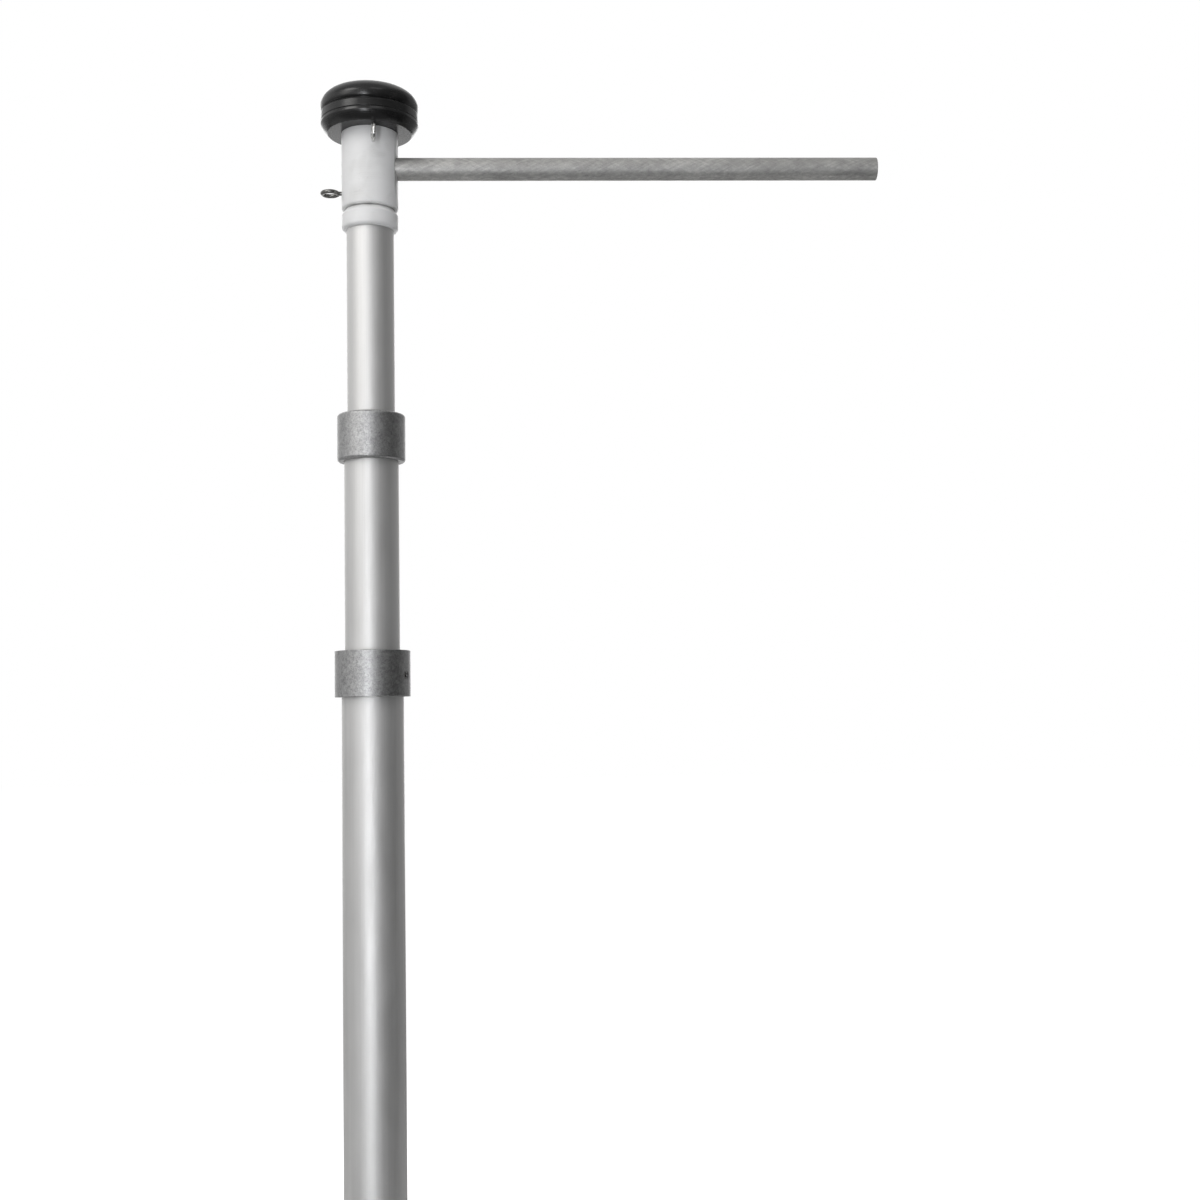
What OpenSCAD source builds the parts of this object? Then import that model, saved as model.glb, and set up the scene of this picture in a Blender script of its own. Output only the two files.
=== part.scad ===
// Telescopic flagpole: three tubes that slide in each other, clamped by collars,
// with a turning head that carries a banner arm, two screw eyes and a cap.
// Origin: centre of the foot, on the ground. +Z up the pole, +X along the arm.

/* [Tubes] */
// Outside diameter of the top tube
top_d = 70; // [56:1:90]
// Wall of all three tubes
tube_wall = 3; // [2:0.5:4]
// Gap between a tube and the one that slides in it
nest_gap = 2; // [1.5:0.25:4]
// Length of the lower tube
lower_len = 1560; // [1300:10:1900]
// Length of the middle tube
middle_len = 1600; // [1300:10:1650]
// Length of the top tube
top_len = 1600; // [1300:10:1650]
// How far the middle collar stands above the lower collar when retracted
middle_out = 349; // [250:1:500]
// How far the head flange stands above the middle collar when retracted
top_out = 278; // [200:1:400]

/* [Collars] */
// Wall of the lower collar round its tube
lower_collar_wall = 10; // [7:0.5:16]
// Height of the lower collar
lower_collar_h = 67; // [60:1:90]
// Wall of the middle collar round its tube
middle_collar_wall = 10; // [7:0.5:16]
// Height of the middle collar
middle_collar_h = 70; // [60:1:90]
// Rounding of the middle collar's edges
middle_collar_round = 4; // [2:0.5:6]
// Depth of the socket over the end of the tube that carries the collar
collar_socket = 22; // [18:1:28]
// Height of the guide bush inside each collar
bush_h = 16; // [12:1:20]
// Diameter of the clamp screws
screw_d = 10; // [8:1:12]
// Height of the clamp screws above the end of the carrying tube
screw_up = 8; // [7:1:9]
// Turn of the clamp screws round the pole from the arm, seen from above
lower_screw_turn = -22; // [-180:1:180]
// Turn of the middle collar's clamp screw
middle_screw_turn = 62; // [-180:1:180]

/* [Head] */
// Height of the thrust flange
flange_h = 30.5; // [20:0.5:40]
// Depth of the head plug in the top tube
plug_depth = 60; // [40:1:90]
// Diameter of the spigot that the rotor turns on
spigot_d = 40; // [32:1:50]
// Outside diameter of the rotor
rotor_d = 84; // [76:0.5:110]
// Height of the rotor
rotor_h = 117; // [110:1:150]
// Height of the arm's axis above the bottom of the rotor
arm_up = 64; // [58:1:70]
// Height of the retaining screw eye above the bottom of the rotor
retaining_up = 27; // [24:1:30]
// Depth of the cap's screw eye below the top of the rotor
cap_eye_down = 17; // [15:0.5:20]
// Turn of the cap's screw eye round the pole from the arm
cap_eye_turn = -79; // [-110:1:-60]

/* [Arm] */
// Outside diameter of the arm's pipe
arm_d = 33.7; // [26:0.1:42]
// Wall of the arm's pipe
arm_wall = 3.2; // [2:0.1:4]
// Reach of the arm from the pole's axis
arm_reach = 765; // [400:5:1200]
// How far the pipe goes into the rotor past the pole's axis
arm_past_axis = 26; // [10:1:32]

/* [Cap] */
// Diameter of the cap's rim
cap_d = 146.4; // [110:0.2:170]
// Height of the cap's lower disc
cap_disc_h = 32; // [26:1:40]
// Height of the cap's dome above the notch
cap_dome_h = 33; // [26:1:45]
// Diameter of the spigot under the cap
cap_spigot_d = 30; // [24:1:40]

/* [Screw eyes] */
// Outside diameter of a screw eye's ring
eye_d = 29.5; // [26:0.5:40]
// Diameter of the screw eye's wire
eye_wire = 5.5; // [4:0.1:6]
// Gap between the ring and the rotor's wall
eye_gap = 2.5; // [2:0.5:8]

/* [Fits] */
// Radial gap of a sliding or turning fit
running_gap = 0.08; // [0.02:0.01:0.1]
// Gap between the rotor and the flange that it turns on
thrust_gap = 0.4; // [0.3:0.1:1]

/* [Hidden] */
$fn = 96;

eps = 0.5;

// Diameters: each tube takes the next one with a gap all round, and each collar goes over its tube
middle_d = top_d + 2 * (nest_gap + tube_wall);
lower_d = middle_d + 2 * (nest_gap + tube_wall);
lower_collar_d = lower_d + 2 * lower_collar_wall;
middle_collar_d = middle_d + 2 * middle_collar_wall;
// Where a tube or the arm seats in another piece, its outside is turned down to a shoulder
seat_turn = 0.5;
seat_relief = 2;
arm_seat_d = arm_d - 2 * seat_turn;
arm_shoulder = rotor_d / 2 + 1;

// The thrust flange stands a little inside the rotor's wall
flange_step = 0.25;
flange_d = rotor_d - 2 * flange_step;

// Spigots: the one that the rotor turns on and the cap's one stop short of the arm by a web
spigot_top_gap = 1.5;
arm_web = 5;
cap_web = 8.15;
spigot_bore_h = arm_up - arm_d / 2 - arm_web;
spigot_h = spigot_bore_h - spigot_top_gap;
cap_spigot_h = rotor_h - arm_up - arm_d / 2 - cap_web;

// Heights, worked out from the foot up
lower_collar_bottom = lower_len - collar_socket;
lower_collar_top = lower_collar_bottom + lower_collar_h;
middle_collar_top = lower_collar_top + middle_out;
middle_collar_bottom = middle_collar_top - middle_collar_h;
middle_tube_top = middle_collar_bottom + collar_socket;
middle_tube_bottom = middle_tube_top - middle_len;
flange_bottom = middle_collar_top + top_out;
flange_top = flange_bottom + flange_h;
top_tube_bottom = flange_bottom - top_len;
rotor_bottom = flange_top + thrust_gap;
rotor_top = rotor_bottom + rotor_h;
arm_z = rotor_bottom + arm_up;

// Bores
lower_bore = lower_d - 2 * tube_wall;
middle_bore = middle_d - 2 * tube_wall;
top_bore = top_d - 2 * tube_wall;
arm_bore = arm_d - 2 * arm_wall;

// Foot plug
foot_flange_h = 5;
foot_insert_h = 20;
foot_chamfer = 2;

// Guide bushes: the ring in a collar's mouth has a wall that fills the step between collar and tube
bush_wall = nest_gap + 1;
foot_bush_h = 40;
foot_bush_lip = 2;

// Set screws: length, socket and how far below the collar's face they stand
screw_socket_across = 5;
screw_socket_depth = 5;
screw_sunk = 1;

// Rotor and flange edges
rotor_round = 5;
flange_chamfer_w = 5;
flange_chamfer_h = 8;
flange_round = 5.5;
groove_depth = 4;
groove_h = 9;

// Screw eyes
retaining_tip_gap = 1;
cap_eye_bite = 12;

// Cap: radii and heights of its turned profile, up from the underside
cap_r = cap_d / 2;
cap_flat_r = cap_r - 11;
cap_edge_h = 14;
cap_bead_r = cap_r - 0.6;
cap_bead_down = 2.6;
cap_notch_r = cap_r - 3.8;
cap_lip_h = 9.5;
cap_crown_r = cap_r * 0.56;
cap_steps = 10;

// Arm end plug
plug_face_sunk = 1;
plug_len = 18;

// A ring: a tube from z = 0 to h
module ring(d_out, d_in, h) {
    difference() {
        cylinder(d = d_out, h = h);
        translate([0, 0, -eps]) cylinder(d = d_in, h = h + 2 * eps);
    }
}

// A cylinder along +X that starts at x
module rod_x(d, x, length) {
    translate([x, 0, 0]) rotate([0, 90, 0]) cylinder(d = d, h = length);
}

// A tube along Z; where it carries a collar its end is turned down to a seat with a short relief
module tube(d, bottom, length, seated) {
    full = seated ? length - collar_socket - seat_relief : length;
    translate([0, 0, bottom]) difference() {
        union() {
            cylinder(d = d, h = full);
            cylinder(d = d - 2 * seat_turn, h = length);
        }
        translate([0, 0, -eps]) cylinder(d = d - 2 * tube_wall, h = length + 2 * eps);
    }
}

// Half section of a round bar with both edges rounded, for rotate_extrude
module rounded_half(r, h, edge) {
    square([r - edge, h]);
    translate([0, edge]) square([r, h - 2 * edge]);
    translate([r - edge, edge]) circle(edge);
    translate([r - edge, h - edge]) circle(edge);
}

// What every collar has cut out of it: the socket for the tube below, the way through for the
// sliding tube, the seat of its guide bush and the tapped hole of its clamp screw
module collar_cuts(tube_d, inner_d, h, turn) {
    translate([0, 0, -eps]) cylinder(d = tube_d - 2 * seat_turn, h = collar_socket + eps);
    translate([0, 0, -eps]) cylinder(d = inner_d + 2 * nest_gap, h = h + 2 * eps);
    translate([0, 0, h - bush_h]) cylinder(d = inner_d + 2 * bush_wall, h = bush_h + eps);
    rotate([0, 0, turn]) translate([0, 0, collar_socket + screw_up]) rod_x(screw_d, inner_d / 2, tube_d);
}

// A guide bush in a collar's mouth
module guide_bush(inner_d) {
    ring(inner_d + 2 * bush_wall, inner_d + 2 * running_gap, bush_h);
}

// A socket set screw on the X axis, its tip at x_tip and its head at x_head
module set_screw(x_tip, x_head) {
    difference() {
        rod_x(screw_d, x_tip, x_head - x_tip);
        translate([x_head - screw_socket_depth, 0, 0]) rotate([0, 90, 0])
            cylinder(d = screw_socket_across / cos(30), h = screw_socket_depth + eps, $fn = 6);
    }
}

// A screw eye on the X axis: the ring stands off the rotor's wall and the shank runs in to x_tip
module screw_eye(x_tip, ring_upright) {
    ring_r = (eye_d - eye_wire) / 2;
    ring_x = rotor_d / 2 + eye_gap + eye_d / 2;
    rod_x(eye_wire, x_tip, ring_x - ring_r - x_tip);
    translate([ring_x, 0, 0]) rotate([ring_upright ? 90 : 0, 0, 0])
        rotate_extrude() translate([ring_r, 0]) circle(d = eye_wire, $fn = 32);
}

module foot_plug() {
    color("dimgray") {
        translate([0, 0, foot_chamfer]) cylinder(d = lower_d, h = foot_flange_h - foot_chamfer);
        cylinder(d1 = lower_d - 2 * foot_chamfer, d2 = lower_d, h = foot_chamfer);
        translate([0, 0, foot_flange_h]) cylinder(d = lower_bore, h = foot_insert_h);
    }
}

module lower_tube() {
    color("silver") tube(lower_d, foot_flange_h, lower_len - foot_flange_h, true);
}

module lower_collar() {
    color("gray") translate([0, 0, lower_collar_bottom]) difference() {
        cylinder(d = lower_collar_d, h = lower_collar_h);
        collar_cuts(lower_d, middle_d, lower_collar_h, lower_screw_turn);
    }
}

module lower_guide_bush() {
    color("black") translate([0, 0, lower_collar_top - bush_h]) guide_bush(middle_d);
}

module lower_clamp_screw() {
    color("dimgray") translate([0, 0, lower_len + screw_up]) rotate([0, 0, lower_screw_turn])
        set_screw(middle_d / 2 + thrust_gap, lower_collar_d / 2 - screw_sunk);
}

module middle_tube() {
    color("silver") tube(middle_d, middle_tube_bottom, middle_len, true);
}

// The bush at the foot of a sliding tube: a band round its end that runs in the bore below,
// and a lip under the end
module foot_bush(d, bore) {
    translate([0, 0, -foot_bush_lip]) ring(bore - 2 * running_gap, d, foot_bush_h);
    translate([0, 0, -foot_bush_lip]) ring(d, d - 2 * tube_wall, foot_bush_lip);
}

module middle_foot_bush() {
    color("black") translate([0, 0, middle_tube_bottom]) foot_bush(middle_d, lower_bore);
}

module middle_collar() {
    color("gray") translate([0, 0, middle_collar_bottom]) difference() {
        rotate_extrude() rounded_half(middle_collar_d / 2, middle_collar_h, middle_collar_round);
        collar_cuts(middle_d, top_d, middle_collar_h, middle_screw_turn);
    }
}

module middle_guide_bush() {
    color("black") translate([0, 0, middle_collar_top - bush_h]) guide_bush(top_d);
}

module middle_clamp_screw() {
    color("dimgray") translate([0, 0, middle_tube_top + screw_up]) rotate([0, 0, middle_screw_turn])
        set_screw(top_d / 2 + thrust_gap, middle_collar_d / 2 - screw_sunk);
}

module top_tube() {
    color("silver") tube(top_d, top_tube_bottom, top_len, false);
}

module top_foot_bush() {
    color("black") translate([0, 0, top_tube_bottom]) foot_bush(top_d, middle_bore);
}

// Flange with a chamfer above and a rounding below, a plug in the tube and a spigot with a groove
module head_plug() {
    flange_r = flange_d / 2;
    color("whitesmoke") translate([0, 0, flange_bottom]) {
        translate([0, 0, -plug_depth]) cylinder(d = top_bore, h = plug_depth);
        rotate_extrude() {
            square([flange_r - flange_round, flange_h]);
            translate([0, flange_round]) square([flange_r, flange_h - flange_round - flange_chamfer_h]);
            translate([flange_r - flange_round, flange_round]) circle(flange_round);
            polygon([
                [0, flange_h - flange_chamfer_h], [flange_r, flange_h - flange_chamfer_h],
                [flange_r - flange_chamfer_w, flange_h], [0, flange_h]
            ]);
        }
        translate([0, 0, flange_h]) difference() {
            cylinder(d = spigot_d, h = spigot_h);
            translate([0, 0, retaining_up + thrust_gap - groove_h / 2])
                ring(spigot_d + 2, spigot_d - 2 * groove_depth, groove_h);
        }
    }
}

module rotor() {
    color("whitesmoke") translate([0, 0, rotor_bottom]) difference() {
        rotate_extrude() {
            square([rotor_d / 2 - rotor_round, rotor_h]);
            translate([0, rotor_round]) square([rotor_d / 2, rotor_h - rotor_round]);
            translate([rotor_d / 2 - rotor_round, rotor_round]) circle(rotor_round);
        }
        translate([0, 0, -eps])
            cylinder(d = spigot_d + 2 * running_gap, h = spigot_bore_h + eps);
        translate([0, 0, arm_up]) rod_x(arm_seat_d, -arm_past_axis, arm_past_axis + rotor_d);
        translate([0, 0, rotor_h - cap_spigot_h]) cylinder(d = cap_spigot_d, h = cap_spigot_h + eps);
        translate([0, 0, retaining_up]) rotate([0, 0, 180]) rod_x(eye_wire, 0, rotor_d);
        translate([0, 0, rotor_h - cap_eye_down]) rotate([0, 0, cap_eye_turn]) rod_x(eye_wire, 0, rotor_d);
    }
}

// Corner that bends from [r0, z0] to [r1, z1]: 2 is a quarter ellipse and less is flatter
function corner(r0, z0, r1, z1, bend) = [
    for (i = [0 : cap_steps])
        let (a = 90 * i / cap_steps)
        [r1 + (r0 - r1) * pow(cos(a), 2 / bend), z0 + (z1 - z0) * pow(sin(a), 2 / bend)]
];

// A turned cap: a disc with a raking lower edge, a notch all round, and a dome on top
module cap() {
    top_h = cap_disc_h + cap_dome_h;
    lower_edge = corner(cap_r - 0.3, cap_edge_h, cap_flat_r, 0, 1.3);
    dome = corner(cap_r, cap_disc_h + cap_lip_h, cap_crown_r, top_h, 1.93);
    color("#1c1c1c") translate([0, 0, rotor_top]) difference() {
        union() {
            rotate_extrude() polygon(concat(
                [[0, 0]],
                [for (i = [cap_steps : -1 : 0]) lower_edge[i]],
                [[cap_bead_r, cap_disc_h - cap_bead_down], [cap_notch_r, cap_disc_h]],
                dome,
                [[0, top_h]]
            ));
            translate([0, 0, -cap_spigot_h]) cylinder(d = cap_spigot_d, h = cap_spigot_h + eps);
        }
        translate([0, 0, -cap_eye_down]) rotate([0, 0, cap_eye_turn])
            rod_x(eye_wire, cap_spigot_d / 2 - cap_eye_bite, cap_eye_bite + eps);
    }
}

module cap_screw_eye() {
    color("lightgray") translate([0, 0, rotor_top - cap_eye_down]) rotate([0, 0, cap_eye_turn])
        screw_eye(cap_spigot_d / 2 - cap_eye_bite, true);
}

module retaining_screw_eye() {
    color("lightgray") translate([0, 0, rotor_bottom + retaining_up]) rotate([0, 0, 180])
        screw_eye(spigot_d / 2 - groove_depth + retaining_tip_gap, false);
}

// A pipe with its inner end turned down to a shoulder, so that it stops at the rotor's wall
module arm() {
    color("darkgray") translate([0, 0, arm_z]) difference() {
        union() {
            rod_x(arm_seat_d, -arm_past_axis, arm_past_axis + arm_reach);
            rod_x(arm_d, arm_shoulder, arm_reach - arm_shoulder);
        }
        rod_x(arm_bore, -arm_past_axis - eps, arm_past_axis + arm_reach + 2 * eps);
    }
}

module arm_end_plug() {
    color("black") translate([0, 0, arm_z]) rod_x(arm_bore, arm_reach - plug_face_sunk - plug_len, plug_len);
}

foot_plug();
lower_tube();
lower_collar();
lower_guide_bush();
lower_clamp_screw();
middle_tube();
middle_foot_bush();
middle_collar();
middle_guide_bush();
middle_clamp_screw();
top_tube();
top_foot_bush();
head_plug();
rotor();
cap();
cap_screw_eye();
retaining_screw_eye();
arm();
arm_end_plug();
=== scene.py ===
from math import asin, cos, pi, radians, sin, sqrt, tau

import bmesh
import bpy
from mathutils import Matrix, Vector


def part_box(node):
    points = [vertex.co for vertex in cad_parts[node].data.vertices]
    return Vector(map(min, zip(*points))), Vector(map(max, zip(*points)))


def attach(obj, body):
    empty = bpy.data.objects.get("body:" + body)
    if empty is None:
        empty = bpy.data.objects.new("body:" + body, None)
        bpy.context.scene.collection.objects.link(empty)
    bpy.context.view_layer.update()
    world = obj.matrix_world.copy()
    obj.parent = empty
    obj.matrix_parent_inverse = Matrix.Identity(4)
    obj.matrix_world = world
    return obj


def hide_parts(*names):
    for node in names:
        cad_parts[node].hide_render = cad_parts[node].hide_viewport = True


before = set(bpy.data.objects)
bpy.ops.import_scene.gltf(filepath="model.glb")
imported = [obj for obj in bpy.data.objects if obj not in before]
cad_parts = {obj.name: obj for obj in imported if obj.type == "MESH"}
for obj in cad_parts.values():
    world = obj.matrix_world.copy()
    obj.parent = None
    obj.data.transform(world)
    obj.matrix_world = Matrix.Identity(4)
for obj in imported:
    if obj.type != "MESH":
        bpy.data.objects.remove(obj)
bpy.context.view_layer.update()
MM = 0.001

# ---------------------------------------------------------------------------------------- Foot plug
# The pole stands on a moulded plug of black polyamide, pressed into the foot of the lower tube. The
# flange under the tube has a chamfered edge, and the insert tapers at its end to find the bore.

STEPS_AROUND = 192
SMALL_ROUNDING = 2 * MM
SHARP_ANGLE = radians(32)
MERGE_DISTANCE = 0.002 * MM


def as_piece(name, shape):
    """An object of a finished bmesh, smooth but for its sharp edges, with its flat faces kept flat."""
    mesh = bpy.data.meshes.new(name)
    shape.to_mesh(mesh)
    shape.free()
    piece = bpy.data.objects.new(name, mesh)
    bpy.context.scene.collection.objects.link(piece)
    return smooth(piece)


def smooth(piece):
    """Smooth shading but for sharp edges, weighted so that a rounding doesn't shade the wall beside it."""
    piece.data.shade_smooth()
    piece.data.set_sharp_from_angle(angle=SHARP_ANGLE)
    weighted = piece.modifiers.new("weighted_normals", "WEIGHTED_NORMAL")
    weighted.keep_sharp = True
    return piece


def turned(name, outline, ring=False, place=Matrix(), steps=STEPS_AROUND):
    """A piece turned round +Z from (radius, height, rounding) corners, then put in its place. A ring's
    outline closes on itself, and a solid's starts and ends on the axis."""
    shape = bmesh.new()
    corners = [shape.verts.new((radius, 0, height)) for radius, height, _ in outline]
    for start, end in zip(corners, corners[1:] + corners[:1] if ring else corners[1:]):
        shape.edges.new((start, end))
    for rounding in sorted({corner[2] for corner in outline} - {0}):
        chosen = [corner for corner, (_, _, size) in zip(corners, outline) if size == rounding]
        bmesh.ops.bevel(
            shape, geom=chosen, offset=rounding, affect="VERTICES",
            segments=4 if rounding < SMALL_ROUNDING else 9, profile=0.5, material=-1,
        )
    bmesh.ops.spin(
        shape, geom=shape.verts[:] + shape.edges[:], cent=(0, 0, 0), axis=(0, 0, 1),
        angle=tau, steps=steps, use_merge=True,
    )
    bmesh.ops.remove_doubles(shape, verts=shape.verts, dist=MERGE_DISTANCE)
    bmesh.ops.recalc_face_normals(shape, faces=shape.faces)
    bmesh.ops.transform(shape, matrix=place, verts=shape.verts)
    return as_piece(name, shape)


def fit(piece, node, body, finish):
    """Gives a piece its finish and hands it to the frame in the place of its CAD node."""
    piece.data.materials.clear()
    piece.data.materials.append(finish)
    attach(piece, body)
    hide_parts(node)


def add(tree, kind, inputs, **settings):
    """A shader node. Each input is a number, a colour or another node's output."""
    made = tree.nodes.new(f"ShaderNode{kind}")
    for name, value in settings.items():
        setattr(made, name, value)
    for name, value in inputs.items():
        if isinstance(value, bpy.types.NodeSocket):
            tree.links.new(value, made.inputs[name])
        else:
            made.inputs[name].default_value = value
    return made


def placed(tree, size, stretch, turn):
    """Places on the piece, in grains of a size; stretch lengthens the grains along X, Y and Z."""
    where = add(tree, "TexCoord", {})
    turned_place = add(tree, "Mapping", {"Vector": where.outputs["Object"], "Rotation": turn})
    return add(tree, "Mapping", {
        "Vector": turned_place.outputs[0],
        "Scale": [1 / (size * share) for share in stretch],
    }).outputs[0]


def grain(tree, size, stretch=(1, 1, 1), detail=3.0, distortion=0.0, turn=(0, 0, 0)):
    """A cloudy pattern from 0 to 1 with grains of a size, which may be stretched and then turned."""
    return add(tree, "TexNoise", {
        "Vector": placed(tree, size, stretch, turn), "Scale": 1.0, "Detail": detail,
        "Distortion": distortion,
    }).outputs[0]


def spread(tree, pattern, low, high, start=0.3, end=0.7):
    """A pattern stretched from its own range, start to end, to the values low to high."""
    return add(tree, "MapRange", {
        "Value": pattern, "From Min": start, "From Max": end, "To Min": low, "To Max": high,
    }).outputs[0]


def blended(tree, *patterns):
    """The sum of several patterns, each with its share."""
    total = 0.0
    for pattern, share in patterns:
        total = add(tree, "Math", {0: pattern, 1: share, 2: total}, operation="MULTIPLY_ADD").outputs[0]
    return total


def shades(tree, pattern, *stops):
    """A colour for each value of a pattern; the stops are (value, colour)."""
    ramp = add(tree, "ValToRGB", {"Fac": pattern})
    for index, (value, colour) in enumerate(stops):
        stop = ramp.color_ramp.elements[index] if index < 2 else ramp.color_ramp.elements.new(value)
        stop.position = value
        stop.color = (*colour, 1)
    return ramp.outputs[0]


def relief(tree, pattern, depth):
    """A bump as deep as the pattern is high."""
    return add(tree, "Bump", {"Height": pattern, "Distance": depth}).outputs[0]


def finish_of(name, metallic, linked, **plain):
    """A material whose shader has its plain values on its own sockets and the patterns linked to it.
    linked is a function that takes the node tree and gives the patterns by socket name."""
    made = bpy.data.materials.new(name)
    made.use_nodes = True
    tree = made.node_tree
    shader = tree.nodes["Principled BSDF"]
    shader.inputs["Metallic"].default_value = metallic
    for socket, value in plain.items():
        shader.inputs[socket.replace("_", " ")].default_value = value
    for socket, pattern in linked(tree).items():
        tree.links.new(pattern, shader.inputs[socket])
    return made


def moulded_black(tree):
    """Fine spark texture of a mould, with a paler rub on the high spots and a little dust."""
    spark = grain(tree, 0.7 * MM, detail=2)
    cloud = grain(tree, 14 * MM, detail=4)
    tone = blended(tree, (spark, 0.4), (cloud, 0.6))
    return {
        "Base Color": shades(tree, tone, (0.3, (0.026, 0.026, 0.027)), (0.7, (0.060, 0.059, 0.057))),
        "Roughness": spread(tree, tone, 0.42, 0.62),
        "Normal": relief(tree, spark, 0.05 * MM),
    }


black_plastic = finish_of("moulded_black_plastic", 0.0, moulded_black)

TUBE_WALL = 3 * MM
FOOT_FLANGE = 5 * MM
FOOT_CHAMFER = 2 * MM
INSERT_TAPER = 1.5 * MM
INSERT_WALL = 8 * MM
HOLLOW_DRAFT = 2 * MM
HOLLOW_DEPTH = 14 * MM
HOLLOW_ROUNDING = 1 * MM
MOULD_BREAK = 0.5 * MM
SEAT_BREAK = 0.3 * MM

foot_low, foot_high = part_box("foot_plug")
foot_r = foot_high.x
insert_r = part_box("lower_tube")[1].x - TUBE_WALL
hollow_floor = foot_high.z - HOLLOW_DEPTH
foot_plug = turned("foot_plug_moulded", [
    (0, foot_low.z, 0),
    (foot_r - FOOT_CHAMFER, foot_low.z, MOULD_BREAK),
    (foot_r, foot_low.z + FOOT_CHAMFER, MOULD_BREAK),
    (foot_r, foot_low.z + FOOT_FLANGE, SEAT_BREAK),
    (insert_r, foot_low.z + FOOT_FLANGE, 0),
    (insert_r, foot_high.z - 2 * INSERT_TAPER, MOULD_BREAK),
    (insert_r - INSERT_TAPER, foot_high.z, MOULD_BREAK),
    (insert_r - INSERT_WALL, foot_high.z, MOULD_BREAK),
    (insert_r - INSERT_WALL - HOLLOW_DRAFT, hollow_floor, HOLLOW_ROUNDING),
    (0, hollow_floor, 0),
])
fit(foot_plug, "foot_plug", "lower", black_plastic)

# -------------------------------------------------------------------------------------------- Tubes
# Three drawn and anodised aluminium tubes of 3 mm wall, each sliding in the one below. The die leaves
# fine lines along them, and the anodising is even and satin, with a few rubbed places.


def anodised(tree):
    """Drawn lines along the tube under a satin skin, with wide faint streaks and wiped smears."""
    lines = grain(tree, 0.9 * MM, stretch=(1, 1, 260), detail=2)
    streaks = grain(tree, 7 * MM, stretch=(1, 1, 60), detail=3)
    smears = grain(tree, 45 * MM, stretch=(1, 1, 2.2), detail=4, distortion=0.6)
    specks = grain(tree, 1.6 * MM, stretch=(1, 1, 1.5), detail=1)
    tone = blended(tree, (lines, 0.35), (streaks, 0.35), (smears, 0.3))
    pits = spread(tree, specks, 0.0, 1.0, 0.66, 0.8)
    return {
        "Base Color": shades(
            tree, blended(tree, (tone, 1.0), (pits, -0.12)),
            (0.34, (0.580, 0.577, 0.569)), (0.5, (0.625, 0.622, 0.614)), (0.66, (0.660, 0.657, 0.649)),
        ),
        "Roughness": spread(tree, blended(tree, (smears, 0.7), (lines, 0.3)), 0.50, 0.59),
        "Normal": relief(tree, blended(tree, (lines, 1.0), (pits, -0.6)), 0.006 * MM),
    }


aluminium = finish_of("anodised_aluminium", 0.86, anodised)
END_BREAK = 0.5 * MM

for node, body in (("lower_tube", "lower"), ("middle_tube", "middle"), ("top_tube", "top")):
    low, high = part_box(node)
    tube = turned(node + "_drawn", [
        (high.x - TUBE_WALL, low.z, END_BREAK),
        (high.x, low.z, END_BREAK),
        (high.x, high.z, END_BREAK),
        (high.x - TUBE_WALL, high.z, END_BREAK),
    ], ring=True)
    fit(tube, node, body, aluminium)

# ------------------------------------------------------------------------------------- Foot bushes
# A band of black polyamide round the foot of each sliding tube guides it in the bore outside it. A lip
# under the tube's end carries the band, and its ends are chamfered to pass the joints.

BUSH_BREAK = 1 * MM
BUSH_LIP = 2 * MM
LIP_BREAK = 0.4 * MM

for node, tube_node, body in (
    ("middle_foot_bush", "middle_tube", "middle"), ("top_foot_bush", "top_tube", "top"),
):
    low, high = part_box(node)
    tube_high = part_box(tube_node)[1]
    bush = turned(node + "_moulded", [
        (tube_high.x - TUBE_WALL, low.z, LIP_BREAK),
        (high.x, low.z, BUSH_BREAK),
        (high.x, high.z, BUSH_BREAK),
        (tube_high.x, high.z, 0),
        (tube_high.x, low.z + BUSH_LIP, 0),
        (tube_high.x - TUBE_WALL, low.z + BUSH_LIP, LIP_BREAK),
    ], ring=True)
    fit(bush, node, body, black_plastic)

# ------------------------------------------------------------------------------------------ Collars
# Each outer tube carries a clamp collar over its end, cast in zinc alloy and turned only in the bores.
# The lower one has sharp machined edges, and the middle one keeps the rounded edges of its mould.


def cast_zinc(tree):
    """The dull mottled skin of a die casting: fine grain, mottling and wider clouds."""
    fine = grain(tree, 1.6 * MM, detail=4)
    mottle = grain(tree, 4.0 * MM, detail=4, distortion=0.4)
    cloud = grain(tree, 15 * MM, detail=4)
    tone = blended(tree, (fine, 0.45), (mottle, 0.4), (cloud, 0.15))
    return {
        "Base Color": shades(
            tree, tone,
            (0.39, (0.265, 0.265, 0.265)), (0.5, (0.360, 0.360, 0.360)), (0.61, (0.465, 0.465, 0.465)),
        ),
        "Roughness": spread(tree, tone, 0.41, 0.53),
        "Normal": relief(tree, blended(tree, (fine, 0.5), (mottle, 0.5)), 0.10 * MM),
    }


def bore_out(piece, cutters):
    """Cuts the shapes of the cutters out of a piece, as a drill or a broach does, and clears them away."""
    piece.modifiers.clear()
    for cutter in cutters:
        bore = piece.modifiers.new("bore", "BOOLEAN")
        bore.object = cutter
        bore.operation = "DIFFERENCE"
        bore.solver = "EXACT"
    bpy.context.view_layer.update()
    depsgraph = bpy.context.evaluated_depsgraph_get()
    cut = bpy.data.meshes.new_from_object(piece.evaluated_get(depsgraph))
    piece.modifiers.clear()
    piece.data = cut
    for cutter in cutters:
        bpy.data.objects.remove(cutter)
    return smooth(piece)


def outwards(turn, height):
    """Turns a shape made along +Z to lie level at a height, pointing out from the pole's axis."""
    lying = Matrix.Rotation(pi / 2, 4, "Y")
    return Matrix.Translation((0, 0, height)) @ Matrix.Rotation(turn, 4, "Z") @ lying


def middle_of(node):
    """The middle of a CAD node's box."""
    low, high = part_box(node)
    return (low + high) / 2


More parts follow.
